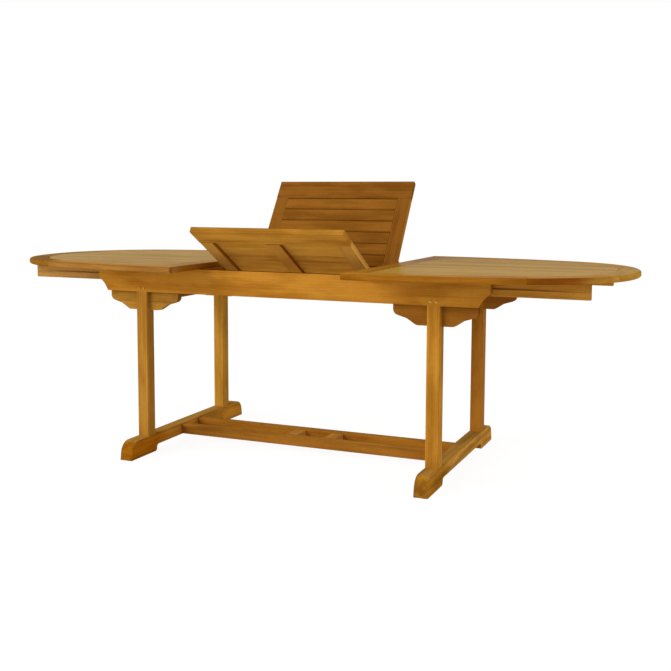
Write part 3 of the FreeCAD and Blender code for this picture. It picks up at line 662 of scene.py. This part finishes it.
def domed_bolts(x, y, z, out):
    """Bolts turned about Y: a ring of each radius at its height, outward from (x, y, z).

    The dome's height is its rise times the root of 1 less (radius / head radius) squared, over a
    short upright shoulder, and the neck goes back into the wood.
    """
    radius = np.concatenate([BOLT_RADIUS * DOME_SWEEP, [BOLT_RADIUS, BOLT_NECK, BOLT_NECK]])
    height = BOLT_DOME * np.sqrt(1 - DOME_SWEEP**2) + BOLT_SHOULDER
    height = np.concatenate([height, [0.0, 0.0, -BOLT_DEPTH]])
    around = np.linspace(0.0, math.tau, BOLT_FACETS, endpoint=False)
    shape = (len(x), len(radius), len(around))
    points_x = x[:, None, None] + radius[None, :, None] * np.cos(around)
    points_y = y[:, None, None] + out[:, None, None] * height[None, :, None] + np.zeros(shape)
    points_z = z + out[:, None, None] * radius[None, :, None] * np.sin(around)
    return np.stack([points_x, points_y, points_z], -1)


satin_brass = brass("satin_brass", *SATIN_BRASS)
leg_bolts = np.add.outer([-LEG_PLACE, LEG_PLACE], [-BOLT_SPACING / 2, BOLT_SPACING / 2]).ravel()
bolt_x = np.tile(leg_bolts, 2)
bolt_side = np.repeat([-1.0, 1.0], len(leg_bolts))
rings = domed_bolts(bolt_x, bolt_side * APRON_FACE, BOLT_LEVEL, bolt_side)
bolts = boards("domed_apron_bolts", rings, "frame")
bolts.data.materials.append(satin_brass)
bolts.data.materials.append(brass("tarnished_brass", *DIMMED_BRASS))
dimmed = (bolt_x < 0.0).astype(int)
quads = len(bolts.data.polygons) // len(bolt_x) - 2
which = np.concatenate([np.repeat(dimmed, quads), dimmed, dimmed])
bolts.data.polygons.foreach_set("material_index", which)
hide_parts("apron_bolts")
coat("leaf_pivot_bolts", satin_brass)

# Hinges: two brass hinges let into the seam of the leaf, their leaves flush with the boards and
# each held by three slotted screws. A loose pin runs through both knuckles.
SCREW_BRASS = ((0.62, 0.45, 0.20), (0.44, 0.29, 0.11))
SCREW_RADIUS = 0.0034
SCREW_SLOT = 0.0009
SCREW_PROUD = 0.00012
SCREW_DEPTH = 0.0012
SCREW_STEPS = 15
SCREW_SPACING = 0.021
SCREW_FROM_SEAM = 0.0145
HINGE_PLACE = 0.19
for node in ("hinge_pins", "near_hinge_leaves", "far_hinge_leaves"):
    coat(node, satin_brass)


def screw_halves(x, y):
    """Slotted screw heads at places on the flat leaf: each head is two D-shaped blocks, a slot apart.

    A block's outline is an arc of the head, closed by the line along the slot, at three heights, the
    last of them drawn in a little.
    """
    lift = math.asin(SCREW_SLOT / 2 / SCREW_RADIUS)
    arc = np.linspace(lift, math.pi - lift, SCREW_STEPS)
    height = np.array([-SCREW_DEPTH, SCREW_PROUD / 2, SCREW_PROUD])
    radius = SCREW_RADIUS - np.array([0.0, 0.0, SCREW_PROUD])
    out_x = radius[:, None] * np.cos(arc)
    out_y = radius[:, None] * np.sin(arc)
    level = TOP_LEVEL + height[:, None] + 0.0 * out_x
    half = np.stack([out_x, out_y, level], -1)
    other = half * [-1.0, -1.0, 1.0]
    places = np.stack([x, y, 0.0 * x], -1)[:, None, None]
    return np.concatenate([half + places, other + places])


screw_x = np.add.outer([-HINGE_PLACE, HINGE_PLACE], [-SCREW_SPACING, 0.0, SCREW_SPACING]).ravel()
for wing, side in (("far", 1.0), ("near", -1.0)):
    screw_y = np.full_like(screw_x, side * SCREW_FROM_SEAM)
    heads = swung(screw_halves(screw_x, screw_y), wing == "near")
    screws = boards(f"{wing}_hinge_screws", heads, f"{wing}_wing")
    screws.data.materials.append(brass(f"{wing}_screw_brass", *SCREW_BRASS))

# Floor: a wide sheet of matt white card under the table. The camera and the reflections see it almost
# white, by a glow that leaves room for the table's soft shadow.
WHITE = (1.0, 1.0, 1.0, 1.0)
CARD = (0.9, 0.9, 0.9, 1.0)
FLOOR_REACH = 60.0
FLOOR_GLOW = 1.095
GLOW_SHARE = 0.85
corners = np.array([(-1, -1, 0), (1, -1, 0), (1, 1, 0), (-1, 1, 0)], float) * FLOOR_REACH
floor_mesh = bpy.data.meshes.new("floor")
floor_mesh.from_pydata(corners.tolist(), [], [(0, 1, 2, 3)])
floor = bpy.data.objects.new("floor", floor_mesh)
bpy.context.scene.collection.objects.link(floor)
pale = bpy.data.materials.new("pale_floor")
start = bare(pale)
sheet = start.node("ShaderNodeBsdfDiffuse", None, {"Color": CARD})
glow = start.node("ShaderNodeEmission", None, {"Color": WHITE, "Strength": FLOOR_GLOW})
seen = start.node("ShaderNodeLightPath", output="Is Camera Ray")
glossy = start.node("ShaderNodeLightPath", output="Is Glossy Ray")
share = (seen + glossy) * GLOW_SHARE
white = start.node("ShaderNodeMixShader", None, {0: share, 1: sheet, 2: glow})
start.node("ShaderNodeOutputMaterial", None, {"Surface": white})
floor_mesh.materials.append(pale)

# Light: an even white room, a large soft lamp in front on the left and a smaller, weaker one on the
# right. The camera sees the room as white, and the table is lit by half of that.
ROOM_LIGHT = 0.5
ROOM_SEEN = 0.5
ROOM_MIRRORED = 0.4
LAMP_TARGET = (0.0, 0.0, 0.45)
room = bpy.data.worlds.new("white_room")
bpy.context.scene.world = room
start = bare(room)
seen = start.node("ShaderNodeLightPath", output="Is Camera Ray")
glossy = start.node("ShaderNodeLightPath", output="Is Glossy Ray")
shine = seen * ROOM_SEEN + glossy * ROOM_MIRRORED + ROOM_LIGHT
walls = start.node("ShaderNodeBackground", None, {"Color": WHITE, "Strength": shine})
start.node("ShaderNodeOutputWorld", None, {"Surface": walls})


def lamp(name, place, size, power):
    """A square soft lamp that faces the middle of the table."""
    data = bpy.data.lights.new(name, "AREA")
    data.size = size
    data.energy = power
    made = bpy.data.objects.new(name, data)
    bpy.context.scene.collection.objects.link(made)
    made.location = place
    made.rotation_euler = (Vector(LAMP_TARGET) - Vector(place)).to_track_quat("-Z", "Y").to_euler()


lamp("key", (-4.8, -4.8, 2.9), size=4.0, power=320.0)
lamp("side", (5.0, -0.6, 2.4), size=2.0, power=46.0)

# Camera: where the photograph was taken from, fitted on the table's own corners. Its focal length and
# the row of its axis are in pixels of the picture, and its turn is in degrees.
PICTURE = 671.0
FOCAL = 981.2
PRINCIPAL_ROW = 290.0
SENSOR = 36.0
CAMERA_PLACE = (1.5470, -3.4719, 0.9996)
CAMERA_TURN = (90.0 - 5.52, -0.229, 22.795)
camera_data = bpy.data.cameras.new("camera")
camera_data.sensor_width = SENSOR
camera_data.lens = FOCAL / PICTURE * SENSOR
camera_data.shift_y = -(PICTURE / 2 - PRINCIPAL_ROW) / PICTURE
camera = bpy.data.objects.new("camera", camera_data)
bpy.context.scene.collection.objects.link(camera)
camera.location = CAMERA_PLACE
camera.rotation_euler = [math.radians(angle) for angle in CAMERA_TURN]
bpy.context.scene.camera = camera
bpy.context.scene.view_settings.view_transform = "Standard"
